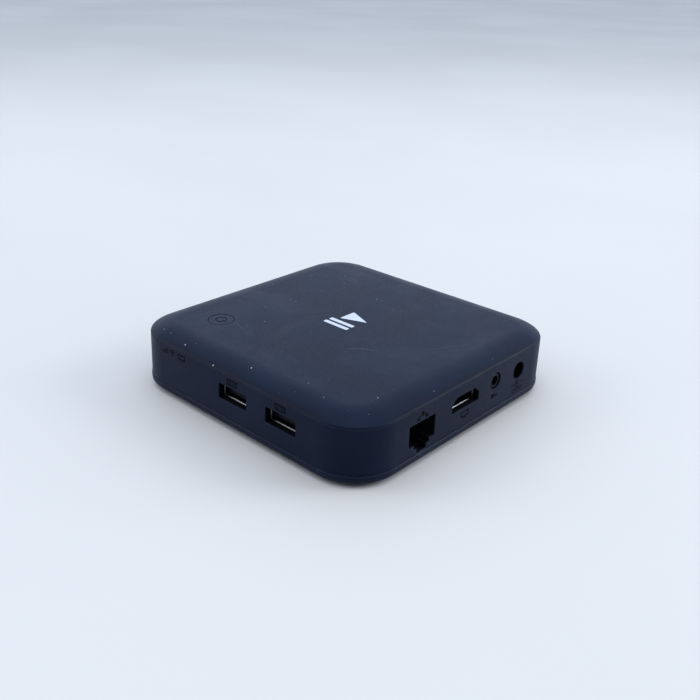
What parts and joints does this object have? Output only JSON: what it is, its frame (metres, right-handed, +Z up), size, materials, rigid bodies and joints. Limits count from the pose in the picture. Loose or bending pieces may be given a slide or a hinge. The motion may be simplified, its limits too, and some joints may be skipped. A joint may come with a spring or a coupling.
{
  "type": "streaming media player",
  "caption": "Low square set-top box with rounded corners and a soft crown, rear network, video, audio and power sockets, side data ports and a push button.",
  "frame": {"origin": "on the table, under the middle of the box", "axes": "+Z up; +Y out of the rear wall with the network, video, audio and power sockets; +X out of the right wall with the data ports; -Y out of the front"},
  "size_m": [0.107, 0.107, 0.023],
  "materials": {
    "shell": "fine matte texture",
    "base": "fine matte texture",
    "button": "smooth matte",
    "lens": "smoked, polished",
    "foot": "soft matte",
    "label": "printed film",
    "screw": "zinc plated",
    "port_metal": "nickel plated",
    "port_plastic": "moulded",
    "contact": "gold flash",
    "pin_metal": "plated",
    "board": "solder mask",
    "chip": "moulded epoxy",
    "pad": "soft",
    "sink": "extruded, anodised",
    "can": "satin",
    "spring": "plain",
    "plain_plastic": "moulded",
    "can_base": "moulded",
    "ceramic": "fired",
    "aerial": "flexible film",
    "cable": "sheathed"
  },
  "bodies": {
    "housing": {"aerial_cable_front": "cable", "aerial_cable_left": "cable", "aerial_front": "aerial", "aerial_left": "aerial", "aerial_sockets": "contact", "audio_jack_body": "port_plastic", "audio_jack_springs": "contact", "base_cover": "base", "board_screws": "screw", "capacitor_bases": "can_base", "capacitor_cans": "can", "crystal": "can", "data_port_1_contacts": "contact", "data_port_1_insulator": "port_plastic", "data_port_1_shell": "port_metal", "data_port_2_contacts": "contact", "data_port_2_insulator": "port_plastic", "data_port_2_shell": "port_metal", "foot_front_left": "foot", "foot_front_right": "foot", "foot_rear_left": "foot", "foot_rear_right": "foot", "front_window": "lens", "heat_sink": "sink", "heat_sink_pins": "plain_plastic", "heat_sink_springs": "spring", "housing_screws": "screw", "infrared_receiver": "chip", "main_board": "board", "memory_chips": "chip", "network_jack_carrier": "port_plastic", "network_jack_contacts": "contact", "network_jack_housing": "port_plastic", "network_transformer": "chip", "power_inductors": "chip", "power_jack_body": "port_plastic", "power_jack_centre_pin": "pin_metal", "power_jack_sleeve_leaf": "pin_metal", "power_switch_base": "chip", "processor_chip": "chip", "rating_label": "label", "regulator_chips": "chip", "service_header": "port_plastic", "service_header_pins": "contact", "small_components": "ceramic", "status_light": "plain_plastic", "storage_chip": "chip", "thermal_pad": "pad", "top_cover": "shell", "video_port_contacts": "contact", "video_port_insulator": "port_plastic", "video_port_shell": "port_metal", "wireless_board": "board", "wireless_can": "can"},
    "power_button": {"power_button": "button", "power_switch_plunger": "plain_plastic"}
  },
  "joints": [
    {"name": "power_button_press", "type": "slide", "parent": "housing", "child": "power_button", "axis": [0, 0, -1], "range_m": [0, 0.00035], "stiffness_N_per_m": 1500, "springref_m": -0.0004}
  ]
}
